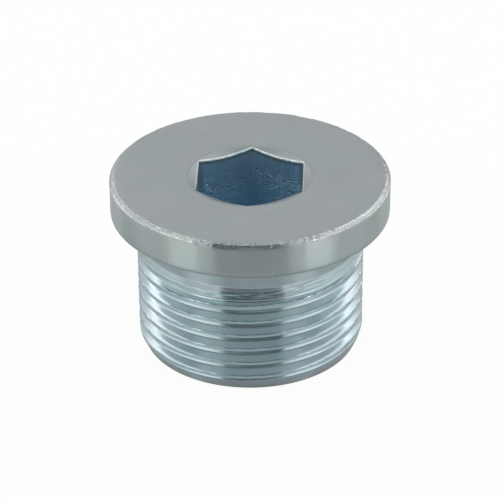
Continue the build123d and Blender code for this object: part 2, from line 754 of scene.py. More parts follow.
class Profile:
    """A row of corners that is turned round the axis, each angle with a shape of its own."""

    def __init__(self, start: Corner, corners: Sequence[Corner]) -> None:
        """Keeps the start, where the skin is sewn to another, and the corners after it."""
        self.corners = [start, *corners]

    def zones(self) -> list[Zone]:
        """Lists the finishes along the profile.

        Returns:
            The zone of the skin between each point and the next.
        """
        found = [self.corners[0].zone] * self.corners[0].spans
        for corner in self.corners[1:]:
            found += [corner.zone] * (corner.steps + corner.spans)
        return found

    def points(self, angle: float) -> list[Vector]:
        """Rounds the corners and divides the runs between them.

        Args:
            angle: the angle about the axis.

        Returns:
            The (radius, height) points there, without the first.
        """
        places = [corner.at(angle) for corner in self.corners]
        found: list[Vector] = []
        last = places[0]
        for index, corner in enumerate(self.corners[1:], start=1):
            place = places[index]
            way_in = (places[index - 1] - place).normalized()
            begin = place + way_in * corner.cut[0]
            spans = self.corners[index - 1].spans
            found += [last.lerp(begin, step / spans) for step in range(1, spans + 1)]
            last = begin
            if corner.steps:
                way_out = (places[index + 1] - place).normalized()
                end = place + way_out * corner.cut[1]
                for step in range(1, corner.steps + 1):
                    share = step / corner.steps
                    found.append(begin.lerp(place, share).lerp(place.lerp(end, share), share))
                last = end
        return found


@dataclass
class Collar:
    """The collar above the neck, turned, with a rough broken rim at its top.

    Attributes:
        neck_radius: the radius of the neck that the collar grows out of.
        seal_height: the height of the seal face above the end face.
        neck_fillet: the rounding of the corner between neck and seal face.
        radius: the radius of the side.
        top: the height of the top face above the end face.
        seal_break: the rounding of the edge between seal face and side.
        rim_drop: how far the rim's facet falls from the top face to the side.
        rim_reach: how far that facet reaches inwards.
        rim_break: the width of the break between facet and side.
        rim_roundings: the roundings of the break's lower and upper edge and of the facet's inner one.
        rim_start: how far inside the side the top face starts to be uneven.
        rim_height: how far below the top face the rim's dents end and the side's waves start.
        rim_fade: the width over which the dents grow to their full depth.
        side_wave: the middle depth of the slow waves on the side.
        side_scale: their number in a millimetre.
        side_reach: how far inside the side's radius a point still takes part in them.
        dent_depth: the depth of the rim's dents.
        dent_level: what is added to their noise, of which the part above 0 makes the dents.
        dent_inward: how far a dent also moves inwards, as a share of its depth.
        dent_waves: the features in a millimetre and the strengths of the noises that make the dents.
    """

    neck_radius: float = 10.65
    seal_height: float = 13.8
    neck_fillet: float = 0.2
    radius: float = 13.3
    top: float = 17.3
    seal_break: float = 0.22
    rim_drop: float = 0.15
    rim_reach: float = 0.48
    rim_break: float = 0.16
    rim_roundings: tuple[float, float, float] = (0.018, 0.03, 0.05)
    rim_start: float = 0.95
    rim_height: float = 0.7
    rim_fade: float = 0.3
    side_wave: float = 0.012
    side_scale: float = 0.33
    side_reach: float = 0.1
    dent_depth: float = 0.026
    dent_level: float = 0.55
    dent_inward: float = 0.6
    dent_waves: tuple[Edge, ...] = ((0.9, 1.0), (2.1, 0.8), (4.3, 0.6))

    def corners(self) -> list[Corner]:
        """Lists the corners from the neck to the top face.

        Returns:
            The corners in their order along the skin.
        """
        break_top = self.top - self.rim_drop * (1 - self.rim_break / self.rim_reach)
        fillet, seal = (self.neck_fillet,) * 2, (self.seal_break,) * 2
        lower, upper, inner = ((cut, cut) for cut in self.rim_roundings)
        return [
            Corner(self.neck_radius, self.seal_height, Zone.SIDE, spans=4, steps=4, cut=fillet),
            Corner(self.radius, self.seal_height, Zone.SIDE, spans=8, steps=4, cut=seal),
            Corner(self.radius, break_top - self.rim_break, Zone.RIM, spans=2, steps=2, cut=lower),
            Corner(self.radius - self.rim_break, break_top, Zone.RIM, spans=6, steps=2, cut=upper),
            Corner(self.radius - self.rim_reach, self.top, Zone.FACE, spans=5, steps=2, cut=inner),
            Corner(self.radius - self.rim_start, self.top, Zone.FACE, spans=8),
        ]

    def uneven(self, around: Vector, place: Vector) -> Vector:
        """Returns how far a point of the collar lies from its turned place, as (radius, height).

        Args:
            around: the outward direction at the point.
            place: its turned (radius, height).

        Returns:
            The change: slow waves on the side, and dents all along the rim.
        """
        radius, height = place
        spot = in_space(around, place)
        if height < self.top - self.rim_height:
            on_side = radius > self.radius - self.side_reach
            wave = self.side_wave * (1 + noise.noise(spot * self.side_scale)) if on_side else 0.0
            return Vector((-wave, 0.0))
        inside = clamped((radius - self.radius + self.rim_start) / self.rim_fade)
        dent = self.dent_depth * max(0.0, rough(spot, self.dent_waves) + self.dent_level) * inside
        return Vector((-self.dent_inward * dent, -dent))


@dataclass
class Socket:
    """The broached hexagon in the top, with the lead-in cone at its mouth and the drilled cone under it.

    Attributes:
        across_flats: the size of the key.
        depth: how deep the flats reach.
        floor_angle: the angle of the drilled cone under them, in degrees.
        mouth_diameter: where the lead-in cone starts in the top face.
        mouth_angle: the angle of that cone, in degrees.
        mouth_round: the rounding at its start, outside and inside.
        edge_round: the rounding of the hexagon's edge, over the cone and down the wall.
        edge_height: how far down the wall the edge's finish reaches.
        dish: how much lower than its rim the top face is at the mouth.
        floor_gap: how far inside the flats the drilled cone starts.
        tip_radius: the radius at which the last ring of that cone lies.
        top: the height of the top face above the end face.
        nick_reach: how far below the top face the nicks end.
        nick_fade: the height over which they end, and how far out from the wall they reach.
        nick_waves: the features in a millimetre and the depths of the noises that make them.
    """

    across_flats: float = 10.0
    depth: float = 7.5
    floor_angle: float = 120.0
    mouth_diameter: float = 11.7
    mouth_angle: float = 140.0
    mouth_round: Edge = (0.12, 0.04)
    edge_round: Edge = (0.1, 0.14)
    edge_height: float = 0.17
    dish: float = 0.1
    floor_gap: float = 0.03
    tip_radius: float = 0.4
    top: float = 17.3
    nick_reach: float = 0.9
    nick_fade: float = 0.2
    nick_waves: tuple[Edge, ...] = ((2.3, 0.03), (5.1, 0.03))

    def wall(self, angle: float) -> float:
        """Finds the wall of the hexagon. Two flats face +X and -X.

        Args:
            angle: the angle about the axis.

        Returns:
            The wall's distance from the axis.
        """
        sixth = FULL_TURN / 6
        from_flat = (angle + sixth / 2) % sixth - sixth / 2
        return self.across_flats / 2 / math.cos(from_flat)

    def mouth_edge(self, angle: float) -> float:
        """Returns the height at which the lead-in cone meets the wall."""
        slope = math.tan(math.radians(self.mouth_angle / 2))
        return self.top - self.dish - (self.mouth_diameter / 2 - self.wall(angle)) / slope

    def cone_height(self, radius: float) -> float:
        """Returns the height of the drilled cone at a distance from the axis."""
        slope = math.tan(math.radians(self.floor_angle / 2))
        return self.top - self.depth - (self.across_flats / 2 - radius) / slope

    def uneven(self, around: Vector, place: Vector) -> Vector:
        """Returns how far a point of the mouth lies from its turned place, as (radius, height).

        Args:
            around: the outward direction at the point.
            place: its turned (radius, height).

        Returns:
            The change, which is small nicks along the edge that the broach left.
        """
        radius, height = place
        from_wall = radius - self.wall(math.atan2(around.y, around.x))
        near = clamped((height - self.top + self.nick_reach) / self.nick_fade)
        near *= max(0.0, 1 - from_wall / self.nick_fade)
        nick = near * rough(in_space(around, place), self.nick_waves)
        return Vector((nick, -abs(nick)))

    def corners(self) -> list[Corner]:
        """Lists the corners from the mouth to the last ring of the drilled cone.

        Returns:
            The corners in their order along the skin.
        """
        mouth, floor = self.mouth_diameter / 2, self.top - self.depth

        def edge_end(angle: float) -> float:
            """Returns the height at which the edge's finish ends on the wall."""
            return self.mouth_edge(angle) - self.edge_height

        return [
            Corner(mouth, self.top - self.dish, Zone.MOUTH, spans=4, steps=3, cut=self.mouth_round),
            Corner(self.wall, self.mouth_edge, Zone.EDGE, spans=1, steps=6, cut=self.edge_round),
            Corner(self.wall, edge_end, Zone.SOCKET, spans=14),
            Corner(self.wall, floor, Zone.SOCKET, spans=1),
            Corner(self.across_flats / 2 - self.floor_gap, floor, Zone.SOCKET, spans=8),
            Corner(self.tip_radius, self.cone_height(self.tip_radius), Zone.SOCKET, spans=0),
        ]


@dataclass
class Plug:
    """The whole plug, sewn into one closed mesh.

    Attributes:
        shank: the thread and the end face.
        collar: the neck, the collar and the top face.
        socket: the mouth and the socket.
        fine: the points of a ring on the rim and on the socket's edge. Other rings have half of them.
        sharp_angle: the angle in degrees from which two faces are shaded apart.
        mouth_margin: how far outside the mouth the socket's unevenness takes over from the collar's.
    """

    shank: Shank
    collar: Collar
    socket: Socket
    fine: int = 768
    sharp_angle: float = 32.0
    mouth_margin: float = 0.2

    def build(self, finishes: dict[Zone, bpy.types.Material]) -> bpy.types.Object:
        """Makes the plug's object.

        Args:
            finishes: the material of each zone.

        Returns:
            The object, at the origin, with its place in its mesh.
        """
        made = bmesh.new()
        made.from_mesh(self.shank.mesh(finishes[Zone.THREAD]))
        for face in made.faces:
            face.material_index = Zone.THREAD.value
        foot, neck = self._open_rings(made)
        self._close_foot(made, foot)
        self._turn_head(made, neck)
        bmesh.ops.recalc_face_normals(made, faces=made.faces)
        mesh = bpy.data.meshes.new("screw_plug_skin")
        for face in made.faces:
            face.smooth = True
        made.to_mesh(mesh)
        made.free()
        for zone in Zone:
            mesh.materials.append(finishes[zone])
        mesh.set_sharp_from_angle(angle=math.radians(self.sharp_angle))
        plug = bpy.data.objects.new("plug_skin", mesh)
        bpy.context.scene.collection.objects.link(plug)
        return plug

    @staticmethod
    def _open_rings(made: bmesh.types.BMesh) -> tuple[list[bmesh.types.BMVert], list[bmesh.types.BMVert]]:
        """Finds the two open rings of the shank.

        Args:
            made: the mesh so far.

        Returns:
            The ring at the foot and the one at the neck, each in the order of its angles.
        """
        loose = {vert for edge in made.edges if edge.is_boundary for vert in edge.verts}
        middle = sum(vert.co.z for vert in loose) / len(loose)

        def turned(vert: bmesh.types.BMVert) -> float:
            """Returns the vertex's angle about the axis."""
            return math.atan2(vert.co.y, vert.co.x) % FULL_TURN

        low = sorted((vert for vert in loose if vert.co.z < middle), key=turned)
        high = sorted((vert for vert in loose if vert.co.z > middle), key=turned)
        return low, high

    @staticmethod
    def _bridge(
        made: bmesh.types.BMesh,
        below: Sequence[bmesh.types.BMVert],
        above: Sequence[bmesh.types.BMVert],
        zone: Zone,
    ) -> None:
        """Joins two rings of as many points with quads, or a ring to one of twice as many with triangles.

        Args:
            made: the mesh so far.
            below: the one ring.
            above: the other ring.
            zone: the finish between them.
        """
        few, many = sorted((below, above), key=len)
        count = len(few)
        for index in range(count):
            after = (index + 1) % count
            if len(many) == count:
                loops = [(below[index], below[after], above[after], above[index])]
            else:
                mid = many[2 * index + 1]
                loops = [
                    (few[index], mid, many[2 * index]),
                    (few[index], few[after], mid),
                    (few[after], many[2 * after], mid),
                ]
            for loop in loops:
                made.faces.new(loop).material_index = zone.value

    @staticmethod
    def _fan(
        made: bmesh.types.BMesh, ring: Sequence[bmesh.types.BMVert], height: float, zone: Zone
    ) -> None:
        """Closes a ring with triangles to a point on the axis.

        Args:
            made: the mesh so far.
            ring: the open ring.
            height: the point's height above the end face.
            zone: the finish of the triangles.
        """
        pole = made.verts.new((0.0, 0.0, height * MM))
        for index, vert in enumerate(ring):
            made.faces.new((vert, ring[(index + 1) % len(ring)], pole)).material_index = zone.value

    def _close_foot(self, made: bmesh.types.BMesh, ring: list[bmesh.types.BMVert]) -> None:
        """Rounds the shank's last edge and closes the end face.

        Args:
            made: the mesh so far.
            ring: the open ring at the foot.
        """
        last = ring
        for inset, height in self.shank.end_rings:
            after = []
            for vert in ring:
                flat = Vector((vert.co.x, vert.co.y, 0.0))
                shorter = flat * (1 - inset * MM / flat.length)
                after.append(made.verts.new((shorter.x, shorter.y, height * MM)))
            self._bridge(made, last, after, Zone.SIDE)
            last = after
        self._fan(made, last, 0.0, Zone.SIDE)

    def _turn_head(self, made: bmesh.types.BMesh, ring: list[bmesh.types.BMVert]) -> None:
        """Turns the neck, the collar and the socket onto the shank.

        Args:
            made: the mesh so far.
            ring: the open ring at the neck.
        """
        start = Corner(self.collar.neck_radius, self.shank.thread_top, Zone.NECK, spans=3)
        profile = Profile(start, [*self.collar.corners(), *self.socket.corners()])
        angles = [FULL_TURN * index / self.fine for index in range(self.fine)]
        columns = [profile.points(angle) for angle in angles]
        last: list[bmesh.types.BMVert] = ring
        for level, zone in enumerate(profile.zones()):
            step = 1 if zone in (Zone.RIM, Zone.EDGE) else 2
            after = [
                self._head_point(made, angles[index], columns[index][level])
                for index in range(0, self.fine, step)
            ]
            self._bridge(made, last, after, zone)
            last = after
        self._fan(made, last, self.socket.cone_height(0.0), Zone.SOCKET)

    def _head_point(self, made: bmesh.types.BMesh, angle: float, place: Vector) -> bmesh.types.BMVert:
        """Adds one point of the head, a little uneven where the metal was left rough.

        Args:
            made: the mesh so far.
            angle: the angle about the axis.
            place: its turned (radius, height).

        Returns:
            The new vertex.
        """
        around = Vector((math.cos(angle), math.sin(angle), 0.0))
        outside = place.x > self.socket.mouth_diameter / 2 + self.mouth_margin
        part = self.collar if outside else self.socket
        return made.verts.new(in_space(around, place + part.uneven(around, place)) * MM)


# ---------------------------------------------------------------------------------------------------------
# Finishes
# ---------------------------------------------------------------------------------------------------------


CLOUDS = Grain(0.22, 3.0, 0.55, seed=1.0, band=(0.35, 0.65))
FINE = Grain(1.0, 3.0, 0.6, seed=2.0, band=(0.48, 0.62))
FILM = Grain(0.16, 1.5, 0.5, seed=7.0)
FILM_COLOURS: tuple[tuple[float, Colour], ...] = (
    (0.30, (0.84, 0.94, 0.86)),
    (0.42, (0.84, 0.97, 0.97)),
    (0.52, (0.88, 0.95, 1.0)),
    (0.62, (0.94, 0.90, 1.0)),
    (0.72, (1.0, 0.95, 0.90)),
)
STREAKS = Grain(2.2, 2.0, 0.6, seed=11.0, band=(0.5, 0.7), along=0.05)
TORN_PATCHES = Grain(0.55, 1.0, 0.5, seed=12.0, band=(0.38, 0.48))
TORN = Grain(1.7, 2.0, 0.6, seed=13.0, band=(0.52, 0.62), along=2.6)
CHIPS = Grain(2.6, 1.0, 0.5, seed=14.0, band=(0.6, 0.67), along=2.0)


def shaded(colour: Colour, share: float) -> Colour:
    """Returns a colour with its parts multiplied by a share, up to 1."""
    return tuple(min(1.0, share * part) for part in colour)


@dataclass(frozen=True)
class ZincFinish:
    """Zinc plating over steel that was worked in one way.

    Attributes:
        name: the material's name.
        base: the colour of the plating.
        pale: its colour where it is thinner or rubbed.
        film: how strongly the passivated film tints it, 0 to 1.
        roughness: the roughness between its smoothest and its dullest places.
        grain_scale: features of the fine grain in a millimetre.
        grain_depth: the height of that grain in millimetres.
        stretch: how much finer the grain is along the axis than round it.
        anisotropic: how far reflections are drawn out across the turning marks.
        metallic: how far the plating is bare metal, less where a dull film covers it.
        mottle: how strongly the fine grain darkens it, 0 to 1.
        dark_share: the brightness of those dark places.
        rough_band: the mixed noise at the smoothest and at the dullest places.
        rough_fine: the share of the fine grain in that noise. The clouds have the rest.
        drawn_turn: the turn of the drawn-out reflections, in full turns.
    """

    name: str
    base: Colour
    pale: Colour
    film: float
    roughness: Edge
    grain_scale: float
    grain_depth: float
    stretch: float = 1.0
    anisotropic: float = 0.0
    metallic: float = 1.0
    mottle: float = 0.0
    dark_share: float = 0.5
    rough_band: Edge = (0.3, 0.7)
    rough_fine: float = 0.6
    drawn_turn: float = 0.25

    def material(self) -> bpy.types.Material:
        """Builds the finish's nodes.

        Returns:
            The material.
        """
        made = bpy.data.materials.new(self.name)
        made.use_nodes = True
        tree = Tree(made.node_tree)
        metres = tree.wire("ShaderNodeTexCoord", output="Object")
        place = tree.wire("ShaderNodeVectorMath", {"operation": "SCALE"}, {0: metres, "Scale": 1 / MM})
        drawn = tree.drawn(place, self.stretch)
        cloud = tree.patches(place, CLOUDS)
        fine = tree.grain(drawn, replace(FINE, scale=self.grain_scale))
        colour = self._film(tree, drawn, tree.tint(cloud, self.base, self.pale))
        dull = tree.rise(fine, FINE.band) * self.mottle
        colour = tree.tint(dull, colour, shaded(self.base, self.dark_share))
        colour, relief = self._marks(tree, place, colour, fine)
        mixed = fine * self.rough_fine + cloud * (1 - self.rough_fine)
        roughness = tree.spread(mixed, *self.rough_band, *self.roughness)
        bump = {"Strength": 1.0, "Distance": self.grain_depth * MM, "Height": relief}
        shader = tree.wire(
            "ShaderNodeBsdfPrincipled",
            inputs={
                "Base Color": colour,
                "Metallic": self.metallic,
                "Roughness": roughness,
                "Anisotropic": self.anisotropic,
                "Anisotropic Rotation": self.drawn_turn,
                "Normal": tree.wire("ShaderNodeBump", inputs=bump),
            },
        )
        tree.node("ShaderNodeOutputMaterial", inputs={"Surface": shader})
        return made

    def _marks(self, tree: Tree, place: Wire, colour: Wire, fine: Wire) -> tuple[Wire, Wire]:
        """Adds what the tool left on the surface: here nothing but the fine grain.

        Args:
            tree: the material's tree, not used here.
            place: the coordinates in millimetres, not used here.
            colour: the plating's colour.
            fine: the fine grain.

        Returns:
            The colour and the relief, in shares of the grain's depth.
        """
        return colour, fine

    def _film(self, tree: Tree, place: Wire, colour: Wire) -> Wire:
        """Tints the plating with the slow colours of a passivated film.

        Args:
            tree: the material's tree.
            place: the coordinates in millimetres, drawn out as the grain is.
            colour: the plating's own colour.

        Returns:
            The tinted colour.
        """
        hue = tree.wire("ShaderNodeValToRGB", {"stops": FILM_COLOURS}, {0: tree.grain(place, FILM)})
        return tree.tint(self.film, colour, hue, "MULTIPLY")


@dataclass(frozen=True)
class RolledFinish(ZincFinish):
    """Zinc plating on the rolled thread, with a bluish painted shade in the seam of a crest and a dark
    painted shade in the root.

    Attributes:
        seam_inner: the distances from the axis between which the seam's painted shade sets in.
        seam_outer: those between which it ends.
        seam_painted_shade: how strong that painted shade is, 0 to 1.
        seam_shade_colour: its colour.
        root: the distances from the axis between which the root's painted shade ends.
        root_painted_shade: how strong that painted shade is, 0 to 1.
        root_shade_colour: its colour.
    """

    seam_inner: Edge = (10.7, 10.74)
    seam_outer: Edge = (10.8, 10.83)
    seam_painted_shade: float = 0.14
    seam_shade_colour: Colour = (0.1, 0.6, 0.78)
    root: Edge = (10.14, 10.24)
    root_painted_shade: float = 0.22
    root_shade_colour: Colour = (0.05, 0.08, 0.08)

    def _marks(self, tree: Tree, place: Wire, colour: Wire, fine: Wire) -> tuple[Wire, Wire]:
        """Paints shade into the seam and the root.

        Args:
            tree: the material's tree.
            place: the coordinates in millimetres.
            colour: the plating's colour.
            fine: the fine grain.

        Returns:
            The colour and the relief, in shares of the grain's depth.
        """
        x, y, _ = tree.split(place)
        radius = tree.from_axis(x, y)
        # Painted shade: the seam between a crest's lips is tinted dark blue.
        inside = tree.spread(radius, *self.seam_inner) * tree.spread(radius, *self.seam_outer, 1.0, 0.0)
        colour = tree.tint(inside * self.seam_painted_shade, colour, self.seam_shade_colour)
        # Painted shade: the root of the groove is darkened.
        root = tree.spread(radius, *self.root, self.root_painted_shade, 0.0)
        return tree.tint(root, colour, self.root_shade_colour), fine


@dataclass(frozen=True)
class TurnedFinish(ZincFinish):
    """Zinc plating on the collar's side, with painted shade along the turned edge over the seal face.

    Attributes:
        edge: the heights above the end face between which the painted shade at the edge ends.
        edge_painted_shade: how strong that painted shade is, 0 to 1.
        edge_shade_colour: its colour.
        above_end: the heights above which the painted shade may be, since the end face has this finish too.
    """

    edge: Edge = (14.04, 14.14)
    edge_painted_shade: float = 0.22
    edge_shade_colour: Colour = (0.1, 0.12, 0.12)
    above_end: Edge = (1.0, 2.0)

    def _marks(self, tree: Tree, place: Wire, colour: Wire, fine: Wire) -> tuple[Wire, Wire]:
        """Paints shade along the edge over the seal face.

        Args:
            tree: the material's tree.
            place: the coordinates in millimetres.
            colour: the plating's colour.
            fine: the fine grain.

        Returns:
            The colour and the relief, in shares of the grain's depth.
        """
        _, _, z = tree.split(place)
        # Painted shade along the collar's lower edge, where it turns under to the seal face.
        near = tree.fall(z, self.edge) * self.edge_painted_shade * tree.spread(z, *self.above_end)
        return tree.tint(near, colour, self.edge_shade_colour), fine


@dataclass(frozen=True)
class BroachedFinish(ZincFinish):
    """Zinc plating in the socket, over the streaks and torn places that the broach left, with painted
    highlights and painted shade.

    Heights are measured from the end face.

    Attributes:
        torn_from: the heights between which the torn places set in.
        torn_to: those between which they end.
        torn_shade: how dark they are, 0 to 1.
        torn_dark: the brightness of their shade.
        chip_shine: how bright the chipped specks among them are, 0 to 1.
        chip_colour: the specks' colour.
        corner: where the painted highlight in the rear corner lies along X, and how far from there it
            fades.
        corner_back: the places along Y between which that painted highlight sets in.
        corner_foot: the heights between which it sets in.
        corner_painted_highlight: how strong it is, 0 to 1.
        streak_patches: the noise between the places with the faintest and with the brightest streaks.
        streak_shine: the shine of the streaks in those places.
        bright: the brightness of the lighter streaks and of the painted highlights.
        deep: the heights between which the painted highlight deep in the socket ends.
        deep_painted_highlight: the strength of that painted highlight at the floor.
        mouth: the radius and the height at which the lead-in cone starts, and its slope.
        shade: how far below the edge the painted shade starts to end, and has ended.
        left_wall: the places along X between which the left wall's painted shade ends.
        right_wall: those between which the right wall's painted shade sets in.
        wall_back: the places along Y between which both set in.
        wall_painted_shade: how strong they are, 0 to 1.
        socket_painted_shade: how strong the painted shade under the edge and on the walls is, 0 to 1.
        socket_shade_colour: its colour.
        relief: how high streaks and chips stand and how deep the torn places are, in grain depths.
    """

    torn_from: Edge = (10.9, 11.9)
    torn_to: Edge = (14.5, 15.5)
    torn_shade: float = 0.6
    torn_dark: float = 0.35
    chip_shine: float = 0.5
    chip_colour: Colour = (0.75, 0.95, 1.0)
    corner: tuple[float, Edge] = (0.1, (0.05, 0.2))
    corner_back: Edge = (4.0, 5.0)
    corner_foot: Edge = (12.6, 13.6)
    corner_painted_highlight: float = 0.3
    streak_patches: Edge = (0.4, 0.6)
    streak_shine: Edge = (0.1, 0.4)
    bright: float = 1.5
    deep: Edge = (10.0, 14.5)
    deep_painted_highlight: float = 0.4
    mouth: tuple[float, float, float] = (5.85, 17.2, 2.747)
    shade: Edge = (0.4, 0.58)
    left_wall: Edge = (-4.75, -4.45)
    right_wall: Edge = (4.6, 4.8)
    wall_back: Edge = (0.5, 1.5)
    wall_painted_shade: float = 0.8
    socket_painted_shade: float = 0.75
    socket_shade_colour: Colour = (0.17, 0.25, 0.24)
    relief: tuple[float, float, float] = (1.5, 2.0, 3.0)

    def _marks(self, tree: Tree, place: Wire, colour: Wire, fine: Wire) -> tuple[Wire, Wire]:
        """Adds streaks along the walls and torn specks halfway down, paints highlights low down and in the
        rear corner, and paints shade on the walls under the edge.

        Args:
            tree: the material's tree.
            place: the coordinates in millimetres.
            colour: the plating's colour.
            fine: the fine grain.

        Returns:
            The colour and the relief, in shares of the grain's depth.
        """
        x, y, z = tree.split(place)
        streak = tree.grain(place, STREAKS)
        patch = tree.grain(place, TORN_PATCHES)
        where = tree.rise(patch, TORN_PATCHES.band) * tree.window(z, self.torn_from, self.torn_to)
        torn = tree.patches(place, TORN) * where
        chip = tree.patches(place, CHIPS) * where
        # Painted highlight in the rear corner of the socket.
        across, fade = self.corner
        corner = tree.fall(abs(x - across), fade) * tree.spread(y, *self.corner_back)
        corner = corner * tree.rise(z, self.corner_foot) * self.corner_painted_highlight
        lit = tree.rise(streak, STREAKS.band) * tree.spread(patch, *self.streak_patches, *self.streak_shine)
        # Painted highlight that grows deeper down the socket, towards its floor.
        deep = tree.spread(z, *self.deep, self.deep_painted_highlight, 0.0)
        colour = tree.tint(deep + lit + corner, colour, shaded(self.pale, self.bright))
        colour = tree.tint(torn * self.torn_shade, colour, shaded(self.base, self.torn_dark))
        colour = tree.tint(chip * self.chip_shine, colour, self.chip_colour)
        # Painted shade: the walls are darkened just below the lead-in cone and towards the rear at the
        # sides.
        under_edge_shade = tree.fall(self._below_edge(tree, x, y, z), self.shade)
        shade = tree.math("MAXIMUM", under_edge_shade, self._walls(tree, x, y))
        colour = tree.tint(shade * self.socket_painted_shade, colour, self.socket_shade_colour)
        streaks_up, chips_up, torn_down = self.relief
        return colour, fine + streak * streaks_up + chip * chips_up - torn * torn_down

    def _below_edge(self, tree: Tree, x: Wire, y: Wire, z: Wire) -> Wire:
        """Returns how far below the lead-in cone a place is."""
        radius, start, slope = self.mouth
        return start - (radius - tree.from_axis(x, y)) / slope - z

    def _walls(self, tree: Tree, x: Wire, y: Wire) -> Wire:
        """Paints shade on the side walls towards the rear.

        Args:
            tree: the material's tree.
            x: the place to the right.
            y: the place towards the rear.

        Returns:
            The strength of the painted shade.
        """
        left = tree.spread(x, *self.left_wall, self.wall_painted_shade, 0.0)
        right = tree.spread(x, *self.right_wall, 0.0, self.wall_painted_shade)
        return (left + right) * tree.spread(y, *self.wall_back)


FINISHES = {
    Zone.THREAD: RolledFinish(
        name="zinc_rolled",
        base=(0.645, 0.745, 0.77),
        pale=(0.70, 0.79, 0.815),
        film=0.3,
        roughness=(0.12, 0.2),
        grain_scale=5.0,
        grain_depth=0.001,
        stretch=4.0,
    ),
    # The neck's base is darker than the thread's: painted shade under the collar's overhang.
    Zone.NECK: ZincFinish(
        name="zinc_necked",
        base=(0.51, 0.61, 0.63),
        pale=(0.57, 0.67, 0.70),
        film=0.3,
        roughness=(0.14, 0.24),
        grain_scale=5.0,
        grain_depth=0.002,
        stretch=2.0,
        anisotropic=0.4,
    ),
    Zone.SIDE: TurnedFinish(
        name="zinc_turned",
        base=(0.545, 0.615, 0.61),
        pale=(0.575, 0.64, 0.635),
        film=0.35,
        roughness=(0.16, 0.24),
        grain_scale=7.0,
        grain_depth=0.0012,
        anisotropic=0.7,
    ),
    Zone.FACE: ZincFinish(
        name="zinc_faced",
        base=(0.55, 0.59, 0.60),
        pale=(0.57, 0.605, 0.615),
        film=0.2,
        roughness=(0.22, 0.28),
        grain_scale=7.0,
        grain_depth=0.0006,
    ),
    Zone.RIM: ZincFinish(
        name="zinc_rim",
        base=(0.62, 0.66, 0.665),
        pale=(0.72, 0.75, 0.755),
        film=0.15,
        roughness=(0.15, 0.26),
        grain_scale=4.5,
        grain_depth=0.012,
        mottle=0.5,
    ),
    # The socket's dark blue base is partly the blue passivated film and partly painted shade in the deep
    # socket.
    Zone.SOCKET: BroachedFinish(
        name="zinc_broached",
        base=(0.30, 0.46, 0.57),
        pale=(0.33, 0.49, 0.60),
        film=0.2,
        roughness=(0.34, 0.46),
        grain_scale=4.0,
        grain_depth=0.01,
        stretch=0.15,
        metallic=0.8,
    ),
    Zone.MOUTH: ZincFinish(
        name="zinc_countersunk",
        base=(0.46, 0.495, 0.505),
        pale=(0.48, 0.515, 0.525),
        film=0.2,
        roughness=(0.38, 0.44),
        grain_scale=7.0,
        grain_depth=0.0006,
    ),
    # The edge's pale base is partly the burr's bare metal and partly a painted highlight along the socket's
    # edge.
    Zone.EDGE: ZincFinish(
        name="zinc_burr_and_highlight",
        base=(0.78, 0.83, 0.83),
        pale=(0.84, 0.88, 0.88),
        film=0.15,
        roughness=(0.3, 0.45),
        grain_scale=4.5,
        grain_depth=0.012,
        metallic=0.6,
        mottle=0.5,
    ),
}


# ---------------------------------------------------------------------------------------------------------
# Studio
# ---------------------------------------------------------------------------------------------------------


@dataclass(frozen=True)
class Direction:
    """A direction that a ray leaves in, as wires of the world's tree.

    Attributes:
        x: its part to the right.
        y: its part towards the back.
        z: its part upwards.
        aside: its part to either side, kept above 0.
        forward: y as a share of aside.
        up: z as a share of aside.
    """

    x: Wire
    y: Wire
    z: Wire
    aside: Wire
    forward: Wire
    up: Wire

    @classmethod
    def of(cls, tree: Tree, x: Wire, y: Wire, z: Wire) -> "Direction":
        """Works out the shares of a direction from its three parts."""
        aside = tree.math("MAXIMUM", abs(x), 0.001)
        return cls(x, y, z, aside, y / aside, z / aside)


@dataclass(frozen=True)
class Box:
    """A patch of light with soft edges on the room's left wall, and its like on the right one.

    Attributes:
        brightness: what it gives to a reflection.
        front: the shares forward between which it sets in.
        rear: those between which it ends.
        bottom: the shares up between which it sets in.
        top: those between which it ends.
    """

    brightness: float
    front: Edge
    rear: Edge
    bottom: Edge
    top: Edge

    def share(self, tree: Tree, to: Direction) -> Wire:
        """Returns 1 in the patch and 0 beside it."""
        return tree.window(to.forward, self.front, self.rear) * tree.window(to.up, self.bottom, self.top)

    def over(self, tree: Tree, to: Direction, room: Wire) -> Wire:
        """Returns the room's brightness with the patch in it."""
        return tree.blend(self.share(tree, to), room, self.brightness)


